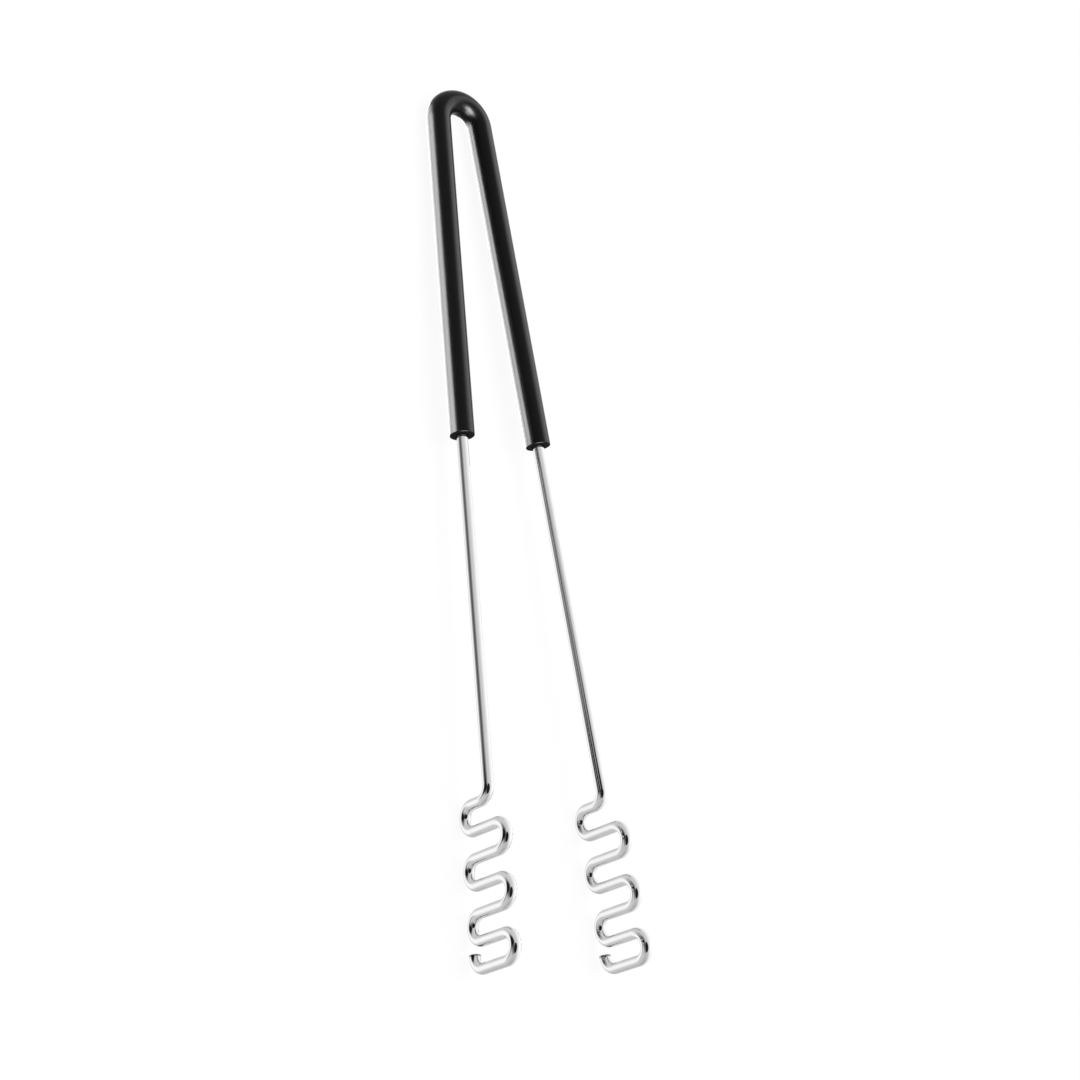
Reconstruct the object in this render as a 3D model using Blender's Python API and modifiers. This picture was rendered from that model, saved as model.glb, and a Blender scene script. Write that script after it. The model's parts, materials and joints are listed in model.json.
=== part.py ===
"""Barbecue tongs bent from one springy steel wire, with a soft black sleeve over the handle.

The wire runs up one arm, round a tight bend and down the other arm. Each arm ends in a flat
jaw, where the wire snakes back and forth, and the two jaws face each other across the mouth.
The tongs lie on their side on a table: +Z is up, +Y points to the bend of the handle, and X
runs from the left arm to the right arm. The origin is on the table, under the middle.

A wire that flexes is one piece, and here it is cut where it flexes, at the two ends of the
bend, so that each arm can turn about the centre of the bend as the real one does.
"""

import math

import bmesh
import bpy

# Driving dimensions, in metres
WIRE_DIAMETER = 0.005
SLEEVE_WALL = 0.0027
SLEEVE_CLEARANCE = 0.0003
SLEEVE_LENGTH = 0.153
BEND_INNER_WIDTH = 0.012
SHANK_LENGTH = 0.313
STROKE_GAP = 0.0064
JAW_WIDTH = 0.032
JAW_DROP = 0.0036
FLEX_GAP = 0.0003
CUT_LEAD = 0.001
WELD_DISTANCE = 0.00001

# Angles and counts
ARM_ANGLE = math.radians(3.5)
STROKE_COUNT = 7
SHARP_ANGLE = math.radians(40)
WIRE_BEVEL_STEPS = 4
SLEEVE_BEVEL_STEPS = 10
STEPS_PER_QUARTER_TURN = 6
STEPS_PER_HANDLE_BEND = 24

# Sizes that follow from them
WIRE_RADIUS = WIRE_DIAMETER / 2
SLEEVE_BORE_RADIUS = WIRE_RADIUS + SLEEVE_CLEARANCE
SLEEVE_RADIUS = SLEEVE_BORE_RADIUS + SLEEVE_WALL
BEND_RADIUS = BEND_INNER_WIDTH / 2 + SLEEVE_RADIUS
STROKE_PITCH = STROKE_GAP + WIRE_DIAMETER
TURN_RADIUS = STROKE_PITCH / 2
JAW_HALF_WIDTH = (JAW_WIDTH - WIRE_DIAMETER) / 2
JAW_LOW = -JAW_DROP - JAW_HALF_WIDTH
JAW_HIGH = -JAW_DROP + JAW_HALF_WIDTH
LAST_STROKE = SHANK_LENGTH + (STROKE_COUNT - 1) * STROKE_PITCH

LEFT = -1
RIGHT = 1

STEEL_COLOUR = (0.74, 0.74, 0.75, 1.0)
SLEEVE_COLOUR = (0.012, 0.012, 0.013, 1.0)


def clear_scene():
    """Remove whatever the file opened with."""
    for thing in list(bpy.data.objects):
        bpy.data.objects.remove(thing, do_unlink=True)


def new_collection(name):
    """Add a collection to the scene."""
    collection = bpy.data.collections.new(name)
    bpy.context.scene.collection.children.link(collection)
    return collection


def new_material(name, colour, roughness, metallic):
    """Make a Principled material."""
    material = bpy.data.materials.new(name)
    material.use_nodes = True
    shader = material.node_tree.nodes["Principled BSDF"]
    shader.inputs["Base Color"].default_value = colour
    shader.inputs["Roughness"].default_value = roughness
    shader.inputs["Metallic"].default_value = metallic
    material.diffuse_color = colour
    return material


def steel(name):
    """Polished stainless spring wire."""
    return new_material(name + "_polished_steel", STEEL_COLOUR, 0.16, 1.0)


def soft_black(name):
    """Smooth black rubber-like plastic with a soft shine."""
    return new_material(name + "_black_rubber", SLEEVE_COLOUR, 0.38, 0.0)


def new_empty(name, collection, parent=None):
    """Add an empty that carries other objects."""
    empty = bpy.data.objects.new(name, None)
    collection.objects.link(empty)
    empty.parent = parent
    return empty


def turn(middle, start_angle, end_angle, steps):
    """Points round part of a circle of the jaw's turning radius.

    A place is (how far down the arm, how far across the jaw), and an angle of zero points
    down the arm.
    """
    points = []
    for step in range(steps + 1):
        angle = start_angle + (end_angle - start_angle) * step / steps
        down = middle[0] + TURN_RADIUS * math.cos(angle)
        across = middle[1] + TURN_RADIUS * math.sin(angle)
        points.append((down, across))
    return points


def jaw_path():
    """The wire from the foot of the shank to its cut end, snaking across the jaw.

    The shank turns towards the low side of the jaw. Each stroke ends in a half turn, at the
    low side and the high side by turns, and the last stroke ends in a quarter turn back up.
    """
    quarter = math.pi / 2
    foot_of_shank = (SHANK_LENGTH - TURN_RADIUS, -TURN_RADIUS)
    points = turn(foot_of_shank, quarter, 0, STEPS_PER_QUARTER_TURN)
    for stroke in range(STROKE_COUNT - 1):
        down = SHANK_LENGTH + stroke * STROKE_PITCH + TURN_RADIUS
        if stroke % 2 == 0:
            middle = (down, JAW_LOW + TURN_RADIUS)
            end_angle = 4 * quarter
        else:
            middle = (down, JAW_HIGH - TURN_RADIUS)
            end_angle = 0
        points += turn(middle, 2 * quarter, end_angle, 2 * STEPS_PER_QUARTER_TURN)
    last_corner = (LAST_STROKE - TURN_RADIUS, JAW_LOW + TURN_RADIUS)
    points += turn(last_corner, 0, -quarter, STEPS_PER_QUARTER_TURN)
    points.append((last_corner[0] - CUT_LEAD, JAW_LOW))
    return points


def arm_points(side, path):
    """Places on an arm, from its own plane to the frame of its pivot."""
    return [(side * BEND_RADIUS, -down, across) for down, across in path]


def bend_points():
    """The half turn of the handle, from the right arm over the top to the left arm.

    It runs straight along each arm for the short lead that makes its cut ends square.
    """
    sweep = math.pi - 2 * ARM_ANGLE
    arc = []
    for step in range(STEPS_PER_HANDLE_BEND + 1):
        angle = ARM_ANGLE + sweep * step / STEPS_PER_HANDLE_BEND
        arc.append((BEND_RADIUS * math.cos(angle), BEND_RADIUS * math.sin(angle), 0))
    foot_x = arc[0][0] + CUT_LEAD * math.sin(ARM_ANGLE)
    foot_y = arc[0][1] - CUT_LEAD * math.cos(ARM_ANGLE)
    return [(foot_x, foot_y, 0)] + arc + [(-foot_x, foot_y, 0)]


def tube_mesh(name, points, radius, bevel_steps, capped):
    """Sweep a circle along points, as a mesh whose ends are capped or left open."""
    curve = bpy.data.curves.new(name, "CURVE")
    curve.dimensions = "3D"
    curve.bevel_depth = radius
    curve.bevel_resolution = bevel_steps
    curve.use_fill_caps = capped
    spline = curve.splines.new("POLY")
    spline.points.add(len(points) - 1)
    for spline_point, place in zip(spline.points, points):
        spline_point.co = (*place, 1)
    guide = bpy.data.objects.new(name + "_guide", curve)
    bpy.context.scene.collection.objects.link(guide)
    evaluated = guide.evaluated_get(bpy.context.evaluated_depsgraph_get())
    mesh = bpy.data.meshes.new_from_object(evaluated)
    mesh.name = name
    bpy.data.objects.remove(guide, do_unlink=True)
    bpy.data.curves.remove(curve)

    shape = bmesh.new()
    shape.from_mesh(mesh)
    bmesh.ops.remove_doubles(shape, verts=shape.verts, dist=WELD_DISTANCE)
    bmesh.ops.recalc_face_normals(shape, faces=shape.faces)
    shape.to_mesh(mesh)
    shape.free()
    mesh.shade_smooth()
    mesh.set_sharp_from_angle(angle=SHARP_ANGLE)
    return mesh


def add_piece(name, mesh, material, parent, collection):
    """Add a piece that moves with its parent."""
    piece = bpy.data.objects.new(name, mesh)
    mesh.materials.clear()
    mesh.materials.append(material)
    collection.objects.link(piece)
    piece.parent = parent
    return piece


def add_wire(name, points, parent, collection):
    """Add a length of round wire with square-cut ends."""
    mesh = tube_mesh(name, points, WIRE_RADIUS, WIRE_BEVEL_STEPS, capped=True)
    return add_piece(name, mesh, steel(name), parent, collection)


def add_sleeve(name, points, parent, collection):
    """Add a length of soft tube that fits over the wire."""
    mesh = tube_mesh(name, points, SLEEVE_RADIUS, SLEEVE_BEVEL_STEPS, capped=False)
    piece = add_piece(name, mesh, soft_black(name), parent, collection)
    wall = piece.modifiers.new("wall", "SOLIDIFY")
    wall.thickness = SLEEVE_WALL
    wall.offset = -1
    wall.use_even_offset = True
    return piece


def resting_tilt():
    """How far the tongs tip, bend down, so that the handle and both jaws touch the table.

    The jaws are wider than the sleeve is thick. They touch at the first low half turn, and
    the sleeve touches at the top of the bend.
    """
    touching_turn = (SHANK_LENGTH + TURN_RADIUS) * math.cos(ARM_ANGLE)
    base = touching_turn + BEND_RADIUS * (1 - math.sin(ARM_ANGLE))
    rise = -JAW_LOW + WIRE_RADIUS - SLEEVE_RADIUS
    return math.atan(rise / base)


def resting_place(tilt):
    """Where the centre of the bend lies, with the origin under the middle of the tongs."""
    height = SLEEVE_RADIUS + BEND_RADIUS * math.sin(tilt)
    behind = BEND_RADIUS * math.cos(tilt) + SLEEVE_RADIUS
    corner_down = (LAST_STROKE - TURN_RADIUS) * math.cos(ARM_ANGLE)
    corner_down -= BEND_RADIUS * math.sin(ARM_ANGLE)
    corner_low = JAW_LOW + TURN_RADIUS
    corner_reach = math.hypot(math.cos(ARM_ANGLE) * math.cos(tilt), math.sin(tilt))
    ahead = corner_down * math.cos(tilt) - corner_low * math.sin(tilt)
    ahead += TURN_RADIUS * corner_reach + WIRE_RADIUS
    return (0, (ahead - behind) / 2, height)


def build_bend(pivot, collection):
    """The bend of the handle: the wire that flexes, and the sleeve round it."""
    add_wire("wire_bend", bend_points(), pivot, collection)
    add_sleeve("sleeve_bend", bend_points(), pivot, collection)


def build_arm(name, side, pivot, collection):
    """One arm: a straight shank that starts in the sleeve and ends in the jaw."""
    arm_pivot = new_empty(name + "_arm_pivot", collection, pivot)
    arm_pivot.rotation_euler.z = side * ARM_ANGLE
    top = (CUT_LEAD + FLEX_GAP, 0)
    wire_path = [top] + jaw_path()
    sleeve_path = [top, (SLEEVE_LENGTH, 0)]
    add_wire("wire_" + name, arm_points(side, wire_path), arm_pivot, collection)
    add_sleeve("sleeve_" + name, arm_points(side, sleeve_path), arm_pivot, collection)


def build_tongs():
    """Build the tongs as they rest on a table."""
    clear_scene()
    collection = new_collection("barbecue_tongs")
    bend_pivot = new_empty("bend_pivot", collection)
    tilt = resting_tilt()
    bend_pivot.location = resting_place(tilt)
    bend_pivot.rotation_euler.x = -tilt
    build_bend(bend_pivot, collection)
    build_arm("left", LEFT, bend_pivot, collection)
    build_arm("right", RIGHT, bend_pivot, collection)


build_tongs()
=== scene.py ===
"""The looks of barbecue tongs: one polished spring wire with a soft black sleeve on its handle.

Lengths are in metres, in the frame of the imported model: the tongs lie on a floor at height
zero, +Y points to the bend of the handle, and X runs from the left arm to the right arm.
"""

import json
import math

import bpy
import numpy as np
from mathutils import Matrix, Vector


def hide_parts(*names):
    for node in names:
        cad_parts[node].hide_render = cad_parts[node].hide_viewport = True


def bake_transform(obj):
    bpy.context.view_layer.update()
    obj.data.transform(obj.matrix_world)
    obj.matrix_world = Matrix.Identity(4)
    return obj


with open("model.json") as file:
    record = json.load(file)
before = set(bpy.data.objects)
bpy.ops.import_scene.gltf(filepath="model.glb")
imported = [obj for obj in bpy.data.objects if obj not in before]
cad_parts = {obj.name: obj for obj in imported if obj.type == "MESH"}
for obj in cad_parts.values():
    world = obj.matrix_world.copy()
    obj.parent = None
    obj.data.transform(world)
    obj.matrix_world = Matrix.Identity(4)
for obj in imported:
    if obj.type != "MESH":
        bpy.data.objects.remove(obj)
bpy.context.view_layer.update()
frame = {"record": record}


# The camera
# It stands beyond the jaws, above and to the left of them, and is turned on its side, so that
# the arms run up the picture. Its place and lens were fitted to the photograph.

CAMERA_TARGET = Vector((0.045626, 0.000852, -0.022621))
CAMERA_DISTANCE = 1.258351
CAMERA_AZIMUTH = math.radians(-66.2813)
CAMERA_ELEVATION = math.radians(47.6808)
CAMERA_ROLL = math.radians(66.0225)
SENSOR_WIDTH_MM = 36
LENS_MM = 93.2388
UPRIGHT = math.radians(90)

towards_camera = Vector(
    (
        math.sin(CAMERA_AZIMUTH) * math.cos(CAMERA_ELEVATION),
        -math.cos(CAMERA_AZIMUTH) * math.cos(CAMERA_ELEVATION),
        math.sin(CAMERA_ELEVATION),
    )
)
camera_data = bpy.data.cameras.new("camera")
camera_data.sensor_width = SENSOR_WIDTH_MM
camera_data.lens = LENS_MM
camera = bpy.data.objects.new("camera", camera_data)
bpy.context.scene.collection.objects.link(camera)
camera.matrix_world = (
    Matrix.Translation(CAMERA_TARGET + CAMERA_DISTANCE * towards_camera)
    @ Matrix.Rotation(CAMERA_AZIMUTH, 4, "Z")
    @ Matrix.Rotation(UPRIGHT - CAMERA_ELEVATION, 4, "X")
    @ Matrix.Rotation(CAMERA_ROLL, 4, "Z")
)
bpy.context.scene.camera = camera
bpy.context.scene.view_settings.view_transform = "Standard"


# The spring wire
# One drawn and polished stainless wire, bent cold: half of the handle's bend, a bare straight
# shank, and a jaw where it snakes across in seven strokes. Left and right halves meet at the
# top of the bend, so that each can flex with its own arm.

WIRE_RADIUS = 0.0025
BEND_RADIUS = 0.0115
ARM_ANGLE = math.radians(3.5)
SHANK_LENGTH = 0.313
STROKE_PITCH = 0.0114
STROKES = 7
TURN_RADIUS = STROKE_PITCH / 2
JAW_HALF_WIDTH = 0.0135
JAW_DROP = 0.0036
CUT_LEAD = 0.001
QUARTER = math.pi / 2

WIRE_SIDES = 64
BEND_STEPS = 40
SHANK_STEPS = 24
STROKE_STEPS = 6
QUARTER_STEPS = 16
SEAM_STEP = 0.00002

CUT_ROUNDING = 0.0004
CUT_ROUNDING_STEPS = 6
SHARP_ANGLE = math.radians(40)

hinge = frame["record"]["behaviour"]["joints"][0]
bend_centre = np.array(hinge["pos_m"])
across_jaw = np.array(hinge["axis"]) / np.linalg.norm(hinge["axis"])
up_handle = np.cross(across_jaw, (1, 0, 0))


def bent_line(side, runs):
    """The centre line from the top of the bend down one arm, one ring of places for each step.

    A run is (length, swing in the plane of the handle, turn in the plane of the jaw, steps).
    A step goes along the chord of its arc: its length times sin(h) / h, where h is half the
    angle that it turns through, in the direction half way. With swing s and turn t the wire
    heads along cos(t) * (side * cos(s), -sin(s), 0) + sin(t) * (0, 0, 1), and its outer side
    is (side * sin(s), cos(s), 0).
    """
    length, swing, turn, steps = np.array(runs).T
    count = steps.astype(int)
    step_length = np.repeat(length / steps, count)
    step_swing = np.repeat(swing / steps, count)
    step_turn = np.repeat(turn / steps, count)
    along = np.concatenate([[0], np.cumsum(step_length)])
    swung = np.concatenate([[0], np.cumsum(step_swing)])
    turned = np.concatenate([[0], np.cumsum(step_turn)])

    def heading(s, t):
        flat = np.outer(side * np.cos(s) * np.cos(t), (1, 0, 0))
        flat -= np.outer(np.sin(s) * np.cos(t), up_handle)
        return flat + np.outer(np.sin(t), across_jaw)

    half_way = heading(swung[:-1] + step_swing / 2, turned[:-1] + step_turn / 2)
    half_angle = (step_swing + step_turn) / 2
    chord = step_length * np.sinc(half_angle / np.pi)
    top = bend_centre + BEND_RADIUS * up_handle
    places = top + np.vstack([np.zeros(3), np.cumsum(chord[:, None] * half_way, axis=0)])
    forward = heading(swung, turned)
    outward = np.outer(side * np.sin(swung), (1, 0, 0)) + np.outer(np.cos(swung), up_handle)
    return {"places": places, "forward": forward, "outward": outward, "along": along}


def handle_runs(arm_length):
    """Half of the bend and the straight part of an arm.

    The bend's length is its radius times its swing. It opens with one tiny step at the seam, so
    that the two halves shade as one.
    """
    swing = QUARTER - ARM_ANGLE
    first = SEAM_STEP / BEND_RADIUS
    bend = (BEND_RADIUS * (swing - first), swing - first, 0, BEND_STEPS)
    return [(SEAM_STEP, first, 0, 1), bend, (arm_length, 0, 0, SHANK_STEPS)]


def jaw_runs():
    """The strokes and turns of the jaw, from the foot of the shank to the cut end.

    A turn's length is its radius times its angle, and a stroke's is the jaw's width between
    the centre lines, less the radius of the turn at each end.
    """
    quarter = (TURN_RADIUS * QUARTER, 0, -QUARTER, QUARTER_STEPS)
    reach = 2 * (JAW_HALF_WIDTH - TURN_RADIUS)
    first_reach = JAW_DROP + JAW_HALF_WIDTH - 2 * TURN_RADIUS
    runs = [quarter, (first_reach, 0, 0, STROKE_STEPS)]
    for stroke in range(1, STROKES):
        half_turn = 2 * QUARTER if stroke % 2 else -2 * QUARTER
        runs.append((2 * TURN_RADIUS * QUARTER, 0, half_turn, 2 * QUARTER_STEPS))
        runs.append((reach, 0, 0, STROKE_STEPS))
    return runs + [quarter, (CUT_LEAD, 0, 0, 1)]


def round_skin(name, side, line, ring, ahead, radius, sides, loops):
    """A round profile carried along a centre line, as a closed mesh.

    Row i of the skin is a circle of radius[i] about the line's place ring[i], moved ahead[i]
    along it: place + ahead * forward + radius * (cos(a) * outward + sin(a) * across), with a
    round the circle. Where the rows loop, the last joins the first, as in a tube with a bore;
    otherwise each end closes on a point. An attribute keeps each point's place on the wire as
    it was before it was bent: (radius * cos(a), radius * sin(a), length along the wire).
    """
    forward, outward = line["forward"][ring], line["outward"][ring]
    across = np.cross(forward, outward)
    centre = line["places"][ring] + ahead[:, None] * forward
    angle = np.linspace(0, 2 * np.pi, sides, endpoint=False)
    circle = np.cos(angle)[None, :, None] * outward[:, None]
    circle = circle + np.sin(angle)[None, :, None] * across[:, None]
    points = (centre[:, None] + radius[:, None, None] * circle).reshape(-1, 3)
    straight = np.stack(
        [
            np.outer(radius, np.cos(angle)),
            np.outer(side * radius, np.sin(angle)),
            np.repeat(side * (line["along"][ring] + ahead), sides).reshape(-1, sides),
        ],
        axis=2,
    ).reshape(-1, 3)

    rows = len(ring)
    index = np.arange(rows * sides).reshape(rows, sides)
    lower = np.roll(index, -1, axis=0) if loops else index[1:]
    upper = index if loops else index[:-1]
    next_upper, next_lower = np.roll(upper, -1, axis=1), np.roll(lower, -1, axis=1)
    faces = np.stack([upper, next_upper, next_lower, lower], axis=2).reshape(-1, 4).tolist()
    if not loops:
        first, last = index[0], index[-1]
        start_pole, end_pole = rows * sides, rows * sides + 1
        points = np.vstack([points, centre[[0, -1]]])
        ends = np.zeros((2, 3))
        ends[:, 2] = straight[[0, -1], 2]
        straight = np.vstack([straight, ends])
        start_fan = np.stack([np.full(sides, start_pole), np.roll(first, -1), first], axis=1)
        end_fan = np.stack([last, np.roll(last, -1), np.full(sides, end_pole)], axis=1)
        faces += start_fan.tolist() + end_fan.tolist()

    mesh = bpy.data.meshes.new(name)
    mesh.from_pydata(points.tolist(), [], faces)
    attribute = mesh.attributes.new("straight", "FLOAT_VECTOR", "POINT")
    attribute.data.foreach_set("vector", straight.ravel())
    mesh.shade_smooth()
    mesh.set_sharp_from_angle(angle=SHARP_ANGLE)
    skin = bpy.data.objects.new(name, mesh)
    bpy.context.scene.collection.objects.link(skin)
    return skin


class Value:
    """A number or vector on its way through a shader. Sums written with it add Math nodes."""

    def __init__(self, nodes, socket):
        self.nodes = nodes
        self.socket = socket

    def maths(self, operation, first, second):
        return self.nodes.add("Math", {"operation": operation}, {0: first, 1: second})

    def __add__(self, other):
        return self.maths("ADD", self, other)

    def __sub__(self, other):
        return self.maths("SUBTRACT", self, other)

    def __mul__(self, other):
        return self.maths("MULTIPLY", self, other)

    def __radd__(self, other):
        return self.maths("ADD", other, self)

    def __rsub__(self, other):
        return self.maths("SUBTRACT", other, self)

    def __rmul__(self, other):
        return self.maths("MULTIPLY", other, self)


class Finish:
    """The nodes of one material, or of the world."""

    def __init__(self, owner):
        owner.use_nodes = True
        self.owner = owner
        self.tree = owner.node_tree
        self.tree.nodes.clear()

    def add(self, kind, settings, sockets, output=0):
        """Add one node: its type, its settings, then the values or links of its sockets."""
        node = self.tree.nodes.new("ShaderNode" + kind)
        for setting, value in settings.items():
            setattr(node, setting, value)
        for name, value in sockets.items():
            if isinstance(value, Value):
                self.tree.links.new(value.socket, node.inputs[name])
            else:
                node.inputs[name].default_value = value
        return Value(self, node.outputs[output]) if node.outputs else None

    def noise(self, place, scale, detail):
        """Noise between 0 and 1 over a place, with about scale lumps to a metre."""
        return self.add("TexNoise", {}, {"Vector": place, "Scale": scale, "Detail": detail})

    def smooth_step(self, value, low, high):
        """0 below low, 1 above high and smooth between them."""
        settings = {"interpolation_type": "SMOOTHSTEP"}
        return self.add("MapRange", settings, {"Value": value, "From Min": low, "From Max": high})

    def stretched(self, place, factors):
        """A place with each of its three coordinates times a factor."""
        return self.add("VectorMath", {"operation": "MULTIPLY"}, {0: place, 1: factors})

    def length(self, vector):
        """How long a vector is."""
        return self.add("VectorMath", {"operation": "LENGTH"}, {0: vector}, "Value")

    def bump(self, height):
        """The normal of a surface that is raised by a height in metres."""
        return self.add("Bump", {}, {"Strength": 1, "Distance": 1, "Height": height})


STEEL_SHADE = 0.76
STEEL_SHADE_SPREAD = 0.06
STEEL_ROUGHNESS = 0.03
STEEL_ROUGHNESS_SPREAD = 0.05
DRAWN_LINES_PER_METRE = 2600
DRAWN_LINE_STRETCH = 0.012
DRAWN_LINE_DEPTH = 0.000004
DRAWN_DETAIL = 2
POLISH_LUMPS_PER_METRE = 160
CLOUDY_DETAIL = 3
STEEL_BLUE_TINT = 1.005
NOISE_MIDDLE = 0.5
CUT_FACE_RADIUS = 0.0021
CUT_FACE_ROUGHNESS = 0.22
CUT_LUMPS_PER_METRE = 3200
CUT_DEPTH = 0.00003
# Painted dark reflection at the cut end: the wire's colour is darkened over its last 1.4 mm,
# standing in for the dark that the bent tip mirrors.
CUT_PAINTED_DARK_LENGTH = 0.0014
CUT_PAINTED_DARK_DEPTH = 0.6
WIRE_LENGTH = sum(run[0] for run in handle_runs(SHANK_LENGTH - TURN_RADIUS) + jaw_runs())

steel = Finish(bpy.data.materials.new("polished_spring_steel"))
straight = steel.add("Attribute", {"attribute_name": "straight"}, {}, "Vector")
drawn_place = steel.stretched(straight, (1, 1, DRAWN_LINE_STRETCH))
drawn = steel.noise(drawn_place, DRAWN_LINES_PER_METRE, DRAWN_DETAIL)
polish = steel.noise(straight, POLISH_LUMPS_PER_METRE, CLOUDY_DETAIL)
off_axis = steel.length(steel.stretched(straight, (1, 1, 0)))
on_cut = 1 - steel.smooth_step(off_axis, CUT_FACE_RADIUS, WIRE_RADIUS)
sheared = steel.noise(straight, CUT_LUMPS_PER_METRE, CLOUDY_DETAIL)
along_wire = steel.add("SeparateXYZ", {}, {"Vector": straight}, "Z")
to_cut = WIRE_LENGTH - steel.add("Math", {"operation": "ABSOLUTE"}, {0: along_wire})
# The painted dark reflection: 1 within 0.7 mm of the cut end, fading to 0 at 1.4 mm.
painted_dark_reflection = 1 - steel.smooth_step(to_cut, CUT_PAINTED_DARK_LENGTH / 2, CUT_PAINTED_DARK_LENGTH)
shade = STEEL_SHADE + (polish - NOISE_MIDDLE) * STEEL_SHADE_SPREAD
shade = shade + (drawn - NOISE_MIDDLE) * STEEL_SHADE_SPREAD
# The painted dark reflection darkens the colour near the cut end.
shade = shade * (1 - painted_dark_reflection * CUT_PAINTED_DARK_DEPTH)
blue = shade * STEEL_BLUE_TINT
steel_colour = steel.add("CombineColor", {}, {"Red": shade, "Green": shade, "Blue": blue})
dull = STEEL_ROUGHNESS + polish * STEEL_ROUGHNESS_SPREAD + on_cut * CUT_FACE_ROUGHNESS
relief = drawn * DRAWN_LINE_DEPTH + on_cut * sheared * CUT_DEPTH
steel_shader = steel.add(
    "BsdfPrincipled",
    {},
    {
        "Base Color": steel_colour,
        "Metallic": 1,
        "Roughness": dull,
        "Normal": steel.bump(relief),
    },
)
steel.add("OutputMaterial", {}, {"Surface": steel_shader})


def spring_wire(name, side):
    """One half of the wire, with the burr of its cut end rounded off.

    The rounding goes through an angle b from 0 to a quarter turn. It lies
    CUT_ROUNDING * (sin(b) - 1) ahead of the line's end, at the radius
    WIRE_RADIUS - CUT_ROUNDING * (1 - cos(b)).
    """
    line = bent_line(side, handle_runs(SHANK_LENGTH - TURN_RADIUS) + jaw_runs())
    last = len(line["along"]) - 1
    rounding = np.linspace(0, QUARTER, CUT_ROUNDING_STEPS + 1)
    ring = np.append(np.arange(last), np.full(CUT_ROUNDING_STEPS + 1, last))
    ahead = np.append(np.zeros(last), CUT_ROUNDING * (np.sin(rounding) - 1))
    rounded = WIRE_RADIUS - CUT_ROUNDING * (1 - np.cos(rounding))
    radius = np.append(np.full(last, WIRE_RADIUS), rounded)
    wire = round_skin(name, side, line, ring, ahead, radius, WIRE_SIDES, False)
    wire.data.materials.append(steel.owner)
    return wire


def flex(piece):
    """Bake the piece's place into its mesh."""
    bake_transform(piece)


for arm, side in (("left", -1), ("right", 1)):
    wire = spring_wire("spring_wire_" + arm, side)
    flex(wire)
    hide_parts("wire_" + arm, "wire_bend")


# The sleeve
# One soft black tube, pushed over the wire, that covers the bend and the handle's two sides.
# It is extruded, cut square at both ends, and its cut rims show the wall and the bore.

SLEEVE_RADIUS = 0.0055
SLEEVE_BORE_RADIUS = 0.0028
SLEEVE_LENGTH = 0.153
SLEEVE_SIDES = 96
OUTER_RIM = 0.0005
INNER_RIM = 0.00025
RIM_STEPS = 6

SLEEVE_SHADE = 0.0015
SLEEVE_SHADE_SPREAD = 0.001
SLEEVE_BLUE_TINT = 1.03
SLEEVE_ROUGHNESS = 0.25
SLEEVE_ROUGHNESS_SPREAD = 0.08
SLEEVE_IOR = 1.2
SLEEVE_SHEEN = 0.01
SLEEVE_SHEEN_ROUGHNESS = 0.35
SLEEVE_CUT_ROUGHNESS = 0.75
SLEEVE_CUT_IOR = 1.1
CUT_GRAIN_DEPTH = 0.00003
CUT_LOOK_DEPTH = 0.00025
SKIN_LOOK_DEPTH = CUT_LOOK_DEPTH / 10
GRAIN_PER_METRE = 2600
GRAIN_DETAIL = 2
GRAIN_DEPTH = 0.000012
EXTRUDED_LINES_PER_METRE = GRAIN_PER_METRE / 3
EXTRUDED_STRETCH = 0.02
HANDLED_PER_METRE = 60

rubber = Finish(bpy.data.materials.new("soft_black_sleeve"))
straight = rubber.add("Attribute", {"attribute_name": "straight"}, {}, "Vector")
extruded_place = rubber.stretched(straight, (1, 1, EXTRUDED_STRETCH))
grain = rubber.noise(straight, GRAIN_PER_METRE, GRAIN_DETAIL)
extruded = rubber.noise(extruded_place, EXTRUDED_LINES_PER_METRE, GRAIN_DETAIL)
handled = rubber.noise(straight, HANDLED_PER_METRE, CLOUDY_DETAIL)
black = SLEEVE_SHADE + (handled - NOISE_MIDDLE) * SLEEVE_SHADE_SPREAD
blue = black * SLEEVE_BLUE_TINT
sleeve_colour = rubber.add("CombineColor", {}, {"Red": black, "Green": black, "Blue": blue})
skin = rubber.add(
    "BsdfPrincipled",
    {},
    {
        "Base Color": sleeve_colour,
        "Roughness": SLEEVE_ROUGHNESS + handled * SLEEVE_ROUGHNESS_SPREAD,
        "IOR": SLEEVE_IOR,
        "Sheen Weight": SLEEVE_SHEEN,
        "Sheen Roughness": SLEEVE_SHEEN_ROUGHNESS,
        "Normal": rubber.bump((grain + extruded) * GRAIN_DEPTH),
    },
)
cut = rubber.add(
    "BsdfPrincipled",
    {},
    {
        "Base Color": sleeve_colour,
        "Roughness": SLEEVE_CUT_ROUGHNESS + grain * SLEEVE_ROUGHNESS_SPREAD,
        "IOR": SLEEVE_CUT_IOR,
        "Normal": rubber.bump(grain * CUT_GRAIN_DEPTH),
    },
)
off_axis = rubber.length(rubber.stretched(straight, (1, 1, 0)))
cut_radius, skin_radius = SLEEVE_RADIUS - CUT_LOOK_DEPTH, SLEEVE_RADIUS - SKIN_LOOK_DEPTH
on_skin = rubber.smooth_step(off_axis, cut_radius, skin_radius)
rubber_shader = rubber.add("MixShader", {}, {0: on_skin, 1: cut, 2: skin})
rubber.add("OutputMaterial", {}, {"Surface": rubber_shader})


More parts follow.
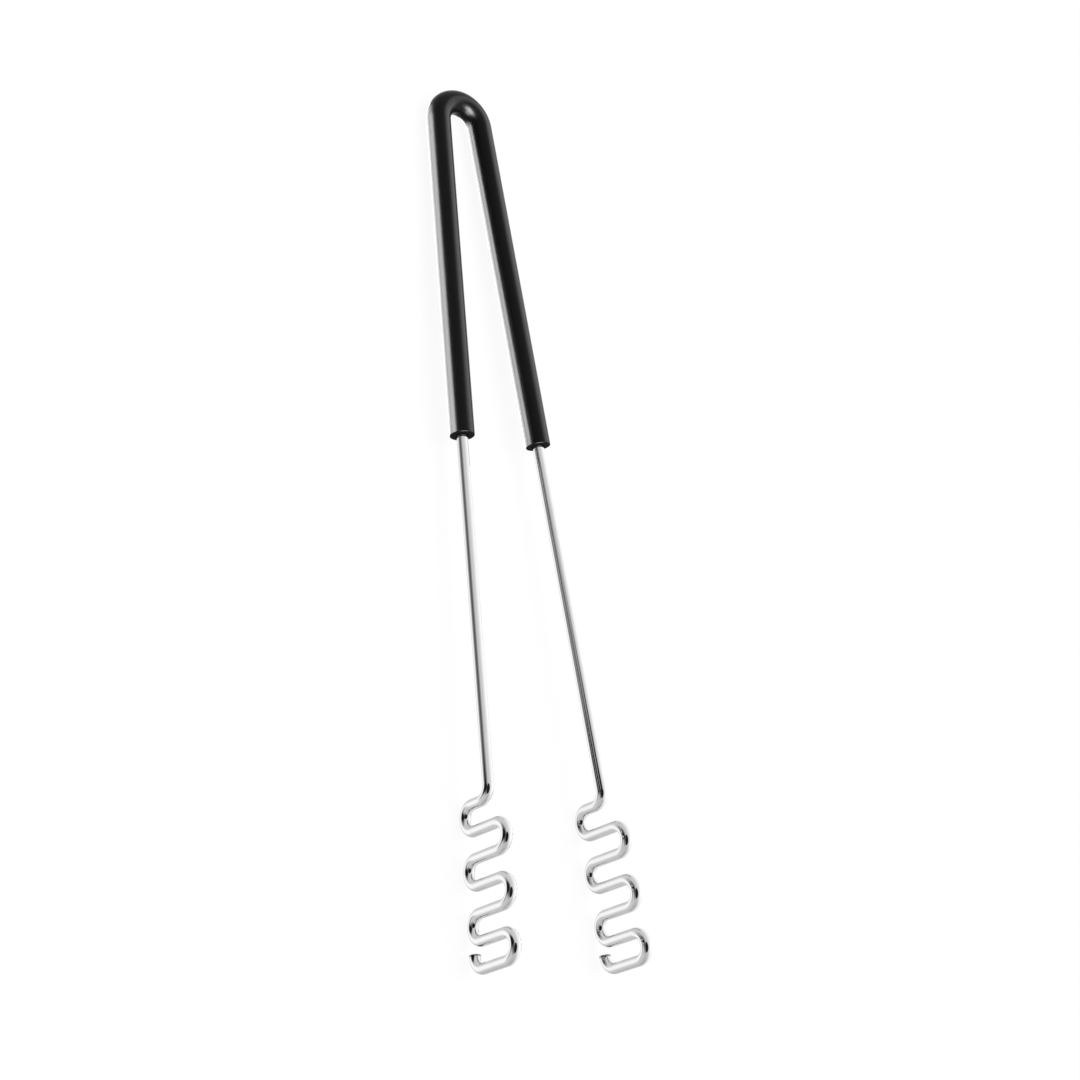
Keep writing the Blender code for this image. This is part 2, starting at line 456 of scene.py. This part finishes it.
def soft_sleeve(name, side):
    """One half of the sleeve: down the outside, round the cut rim and back up the bore.

    The rim's outer edge goes through an angle b from 0 to a quarter turn. It lies
    OUTER_RIM * (sin(b) - 1) ahead of the line's end, at the radius
    SLEEVE_RADIUS - OUTER_RIM * (1 - cos(b)). The inner edge goes back by the same angle, with
    INNER_RIM * (cos(b) - 1) ahead and the radius SLEEVE_BORE_RADIUS + INNER_RIM * (1 - sin(b)).
    """
    line = bent_line(side, handle_runs(SLEEVE_LENGTH))
    last = len(line["along"]) - 1
    rounding = np.linspace(0, QUARTER, RIM_STEPS + 1)
    outer_ahead = OUTER_RIM * (np.sin(rounding) - 1)
    outer_radius = SLEEVE_RADIUS - OUTER_RIM * (1 - np.cos(rounding))
    inner_ahead = INNER_RIM * (np.cos(rounding) - 1)
    inner_radius = SLEEVE_BORE_RADIUS + INNER_RIM * (1 - np.sin(rounding))
    down, back_up, square = np.arange(last), np.arange(last - 1, -1, -1), np.zeros(last)
    ring = np.concatenate([down, np.full(2 * (RIM_STEPS + 1), last), back_up])
    ahead = np.concatenate([square, outer_ahead, inner_ahead, square])
    outside, bore = np.full(last, SLEEVE_RADIUS), np.full(last, SLEEVE_BORE_RADIUS)
    radius = np.concatenate([outside, outer_radius, inner_radius, bore])
    sleeve = round_skin(name, side, line, ring, ahead, radius, SLEEVE_SIDES, True)
    sleeve.data.materials.append(rubber.owner)
    return sleeve


for arm, side in (("left", -1), ("right", 1)):
    sleeve = soft_sleeve("soft_sleeve_" + arm, side)
    flex(sleeve)
    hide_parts("sleeve_" + arm, "sleeve_bend")


# The floor
# A white studio table that the tongs lie on. Most of its white is its own, so that it stays as
# pale as the wall behind it, and the rest is lit, so that it keeps the shadow of the tongs.
# Mirrors don't see it: the tent takes its place there, from below as well.

FLOOR_RADIUS = 6.0
FLOOR_RINGS = 12
FLOOR_SIDES = 96
FLOOR_SHADE = 0.9
OWN_WHITE_SHARE = 0.93


def flat_sheet(name, centre, across, up, ring_radius, sides):
    """A flat round or oval sheet, added to the scene.

    Each ring of radius r, which is 1 at the rim, goes round by the angle a:
    centre + r * (cos(a) * across + sin(a) * up).
    """
    angle = np.linspace(0, 2 * np.pi, sides, endpoint=False)
    circle = np.outer(np.cos(angle), across) + np.outer(np.sin(angle), up)
    points = (np.array(centre) + ring_radius[:, None, None] * circle).reshape(-1, 3)
    index = np.arange(len(points)).reshape(-1, sides)
    inner, outer = index[:-1], index[1:]
    next_inner, next_outer = np.roll(inner, -1, axis=1), np.roll(outer, -1, axis=1)
    faces = np.stack([inner, outer, next_outer, next_inner], axis=2).reshape(-1, 4).tolist()
    mesh = bpy.data.meshes.new(name)
    mesh.from_pydata(points.tolist(), [], faces + [index[0].tolist()])
    sheet = bpy.data.objects.new(name, mesh)
    bpy.context.scene.collection.objects.link(sheet)
    return sheet


floor_rings = np.linspace(0, 1, FLOOR_RINGS + 1)[1:] ** 2
floor_across, floor_up = (FLOOR_RADIUS, 0, 0), (0, FLOOR_RADIUS, 0)
floor = flat_sheet("floor", (0, 0, 0), floor_across, floor_up, floor_rings, FLOOR_SIDES)
floor.visible_glossy = False

white = Finish(bpy.data.materials.new("white_floor"))
seen = white.add("LightPath", {}, {}, "Is Camera Ray")
through = white.add("LightPath", {}, {}, "Is Transmission Ray")
lit = white.add("BsdfDiffuse", {}, {"Color": (FLOOR_SHADE, FLOOR_SHADE, FLOOR_SHADE, 1)})
own = white.add("Emission", {}, {"Strength": 1})
share = (seen + through) * OWN_WHITE_SHARE
floor_shader = white.add("MixShader", {}, {0: share, 1: lit, 2: own})
white.add("OutputMaterial", {}, {"Surface": floor_shader})
floor.data.materials.append(white.owner)


# The tent
# A tent of white cloth all round, plain white to the camera. The wire mirrors lighter and duller
# patches of it, and dark gaps where the camera and the room show. The patches and the gaps are
# round, with soft edges, and were fitted to what the photographed wire mirrors.

TENT_LEVEL = 0.93
TENT_LIGHTS = (
    # azimuth, elevation, half width (degrees), light added
    (5, 7, 103, 0.61),  # the whole right side
    (-41, -19, 71, -0.34),  # duller, low on the right, beyond the jaws
    (-98, 11, 59, -0.16),  # duller, beyond the jaws
    (176, -62, 35, 0.64),  # from below, on the left
    (-27, 8, 63, 0.26),  # on the right, beyond the jaws
)
TENT_GAPS = (
    # azimuth, elevation, half width of the dark middle, half width (degrees), share held back
    (-157, 56, 24, 30, 0.98),  # round the camera
    (168, 16, 8, 34, 0.66),  # on the left
    (160, -6, 6, 30, 0.66),  # under that one
    (-165, 24, 2, 28, 0.65),  # between the left and the camera
    (173, -34, 2, 15, 0.60),  # low on the left
)


def compass(azimuth, elevation):
    """The direction at an azimuth, from +X towards +Y, and an elevation, in degrees."""
    a, e = math.radians(azimuth), math.radians(elevation)
    return Vector((math.cos(e) * math.cos(a), math.cos(e) * math.sin(a), math.sin(e)))


world = bpy.data.worlds.new("studio")
bpy.context.scene.world = world
studio = Finish(world)
direction = studio.add("TexCoord", {}, {}, "Generated")


def patch(azimuth, elevation, inner, outer):
    """A round patch of the tent: 1 within the inner half width and 0 beyond the outer one.

    Between them it is the smooth step of the cosine of the angle from the patch's middle.
    """
    middle = compass(azimuth, elevation)
    settings = {"operation": "DOT_PRODUCT"}
    facing = studio.add("VectorMath", settings, {0: direction, 1: middle}, "Value")
    inner_cosine, outer_cosine = math.cos(math.radians(inner)), math.cos(math.radians(outer))
    return studio.smooth_step(facing, outer_cosine, inner_cosine)


radiance = TENT_LEVEL
for azimuth, elevation, half_width, added in TENT_LIGHTS:
    radiance = radiance + patch(azimuth, elevation, 0, half_width) * added
for azimuth, elevation, inner, outer, held_back in TENT_GAPS:
    radiance = radiance * (1 - patch(azimuth, elevation, inner, outer) * held_back)
seen = studio.add("LightPath", {}, {}, "Is Camera Ray")
seen = seen + studio.add("LightPath", {}, {}, "Is Transmission Ray")
background = studio.add("Background", {}, {"Strength": seen + (1 - seen) * radiance})
studio.add("OutputWorld", {}, {"Surface": background})


# The black card
# A soft-edged oval card to the left of the jaws, as one is set up beside polished metal, so that
# the feet of the shanks and the turns of the jaws mirror it. Only mirrors see it, and it reaches
# below the floor, which they don't see.

CARD_CENTRE = (-0.27, -0.1, 0.02)
CARD_HALF_WIDTH = 0.09
CARD_HALF_HEIGHT = 0.2
CARD_RINGS = 4
CARD_SIDES = 48
CARD_SHADE = 0.01
CARD_SOFT_FROM = 0.5

card_rings = np.linspace(0, 1, CARD_RINGS + 1)[1:]
card_across, card_up = (0, CARD_HALF_WIDTH, 0), (0, 0, CARD_HALF_HEIGHT)
card = flat_sheet("black_card", CARD_CENTRE, card_across, card_up, card_rings, CARD_SIDES)
card.visible_camera = False
card.visible_diffuse = False
card.visible_transmission = False
card.visible_volume_scatter = False
card.visible_shadow = False

felt = Finish(bpy.data.materials.new("black_card"))
place = felt.add("TexCoord", {}, {}, "Object")
from_centre = felt.add("VectorMath", {"operation": "SUBTRACT"}, {0: place, 1: CARD_CENTRE})
half_sizes = (1, CARD_HALF_WIDTH, CARD_HALF_HEIGHT)
from_centre = felt.add("VectorMath", {"operation": "DIVIDE"}, {0: from_centre, 1: half_sizes})
to_rim = felt.length(from_centre)
card_face = felt.add("BsdfDiffuse", {}, {"Color": (CARD_SHADE, CARD_SHADE, CARD_SHADE, 1)})
beyond = felt.add("BsdfTransparent", {}, {})
fade = felt.smooth_step(to_rim, CARD_SOFT_FROM, 1)
card_shader = felt.add("MixShader", {}, {0: fade, 1: card_face, 2: beyond})
felt.add("OutputMaterial", {}, {"Surface": card_shader})
card.data.materials.append(felt.owner)


# The lamps
# Softboxes, as wide round suns, light the gloss of the sleeve alone. One large lamp overhead,
# which nothing mirrors, gives the floor its shadow.

SLEEVE_LAMPS = (
    # name, azimuth, elevation, width (degrees), irradiance
    ("softbox_near", -122, 46, 30, 8),
    ("softbox_middle", -100, 50, 34, 10),
    ("softbox_far", -78, 50, 30, 8),
    ("softbox_low", -104, 24, 36, 9),
    ("side_feather", 162, -8, 30, 3.4),
    ("side_strip", 161, -20, 44, 12),
    ("side_tent", 156, -40, 72, 15),
    ("under_strip", 78, -72, 50, 3.6),
    ("window_strip", 21, 32, 50, 2.2),
)
OVERHEAD_PLACE = (0.5, 0, 2.5)
OVERHEAD_WIDTH = 2.0
OVERHEAD_POWER = 45

sleeves = bpy.data.collections.new("sleeves")
bpy.context.scene.collection.children.link(sleeves)
for piece in ("soft_sleeve_left", "soft_sleeve_right"):
    sleeves.objects.link(bpy.data.objects[piece])

for name, azimuth, elevation, width, irradiance in SLEEVE_LAMPS:
    lamp_data = bpy.data.lights.new(name, "SUN")
    lamp_data.angle = math.radians(width)
    lamp_data.energy = irradiance
    lamp = bpy.data.objects.new(name, lamp_data)
    bpy.context.scene.collection.objects.link(lamp)
    lamp.rotation_mode = "QUATERNION"
    lamp.rotation_quaternion = compass(azimuth, elevation).to_track_quat("Z", "Y")
    lamp.light_linking.receiver_collection = sleeves
    lamp.light_linking.blocker_collection = sleeves
    lamp.visible_diffuse = False

overhead_data = bpy.data.lights.new("overhead", "AREA")
overhead_data.shape = "DISK"
overhead_data.size = OVERHEAD_WIDTH
overhead_data.energy = OVERHEAD_POWER
overhead = bpy.data.objects.new("overhead", overhead_data)
bpy.context.scene.collection.objects.link(overhead)
overhead.location = OVERHEAD_PLACE
overhead.rotation_mode = "QUATERNION"
overhead.rotation_quaternion = Vector(OVERHEAD_PLACE).to_track_quat("Z", "Y")
overhead.visible_camera = False
overhead.visible_glossy = False
